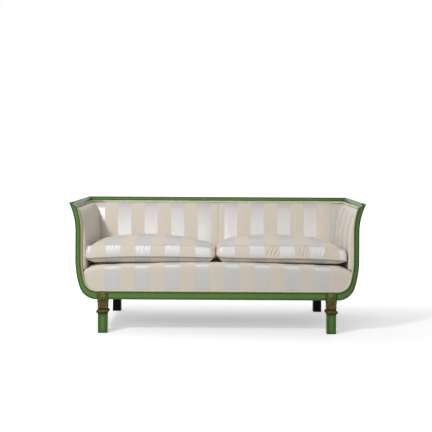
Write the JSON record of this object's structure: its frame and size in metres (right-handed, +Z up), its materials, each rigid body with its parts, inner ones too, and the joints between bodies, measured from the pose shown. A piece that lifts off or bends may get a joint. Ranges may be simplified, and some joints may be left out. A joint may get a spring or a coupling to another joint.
{
  "type": "upholstered settee",
  "caption": "Settee with a painted, outward-flaring show frame, gilt front leg mounts, striped fixed upholstery over a sprung seat, and loose seat cushions that lift out.",
  "frame": {"origin": "middle of the bounding box, on the floor", "axes": "+X along the seat to the right seen from the front, +Y to the back, +Z up"},
  "size_m": [1.76, 0.76, 0.77],
  "materials": {
    "green_paint": "satin olive green paint over moulded wood",
    "dark_stain": "near-black satin stain",
    "gilt_bronze": "dull aged gilding",
    "beech": "bare sawn beech",
    "jute_webbing": "woven jute",
    "hessian": "coarse plain weave",
    "spring_steel": "drawn wire",
    "screw_steel": "turned steel",
    "striped_cover": "cream cotton with satin stripes",
    "welt_cord": "cream covered cord",
    "dust_cloth": "thin black cambric"
  },
  "bodies": {
    "frame": {"back_centre_post": "beech", "back_centre_welt": "welt_cord", "back_lower_rail": "beech", "back_top_rail": "green_paint", "back_upper_rail": "beech", "back_webbing": "jute_webbing", "back_welt": "welt_cord", "corner_block_screws": "screw_steel", "corner_blocks": "beech", "dust_cover": "dust_cloth", "front_border": "striped_cover", "front_rail": "green_paint", "front_seat_rail": "beech", "front_welt": "welt_cord", "left_arm_pad": "striped_cover", "left_arm_stuffing_rail": "beech", "left_arm_top_rail": "green_paint", "left_arm_webbing": "jute_webbing", "left_arm_welt": "welt_cord", "left_back_pad": "striped_cover", "left_front_leg": "green_paint", "left_front_stile": "green_paint", "left_leg_capital": "gilt_bronze", "left_leg_collar": "gilt_bronze", "left_leg_rosette": "gilt_bronze", "left_outside_arm_cover": "striped_cover", "left_rear_leg": "dark_stain", "left_rear_stile": "green_paint", "left_seat_rail": "beech", "left_side_rail": "green_paint", "outside_back_cover": "striped_cover", "rail_dowels": "beech", "rear_rail": "green_paint", "rear_seat_rail": "beech", "right_arm_pad": "striped_cover", "right_arm_stuffing_rail": "beech", "right_arm_top_rail": "green_paint", "right_arm_webbing": "jute_webbing", "right_arm_welt": "welt_cord", "right_back_pad": "striped_cover", "right_front_leg": "green_paint", "right_front_stile": "green_paint", "right_leg_capital": "gilt_bronze", "right_leg_collar": "gilt_bronze", "right_leg_rosette": "gilt_bronze", "right_outside_arm_cover": "striped_cover", "right_rear_leg": "dark_stain", "right_rear_stile": "green_paint", "right_seat_rail": "beech", "right_side_rail": "green_paint", "seat_deck": "striped_cover", "seat_springs": "spring_steel", "seat_webbing": "jute_webbing", "spring_hessian": "hessian"},
    "left_cushion": {"left_seat_cushion": "striped_cover"},
    "right_cushion": {"right_seat_cushion": "striped_cover"}
  },
  "joints": [
    {"name": "left_cushion_lift", "type": "slide", "parent": "frame", "child": "left_cushion", "axis": [0, 0, 1], "range_m": [0, 0.4]},
    {"name": "right_cushion_lift", "type": "slide", "parent": "frame", "child": "right_cushion", "axis": [0, 0, 1], "range_m": [0, 0.4]}
  ]
}
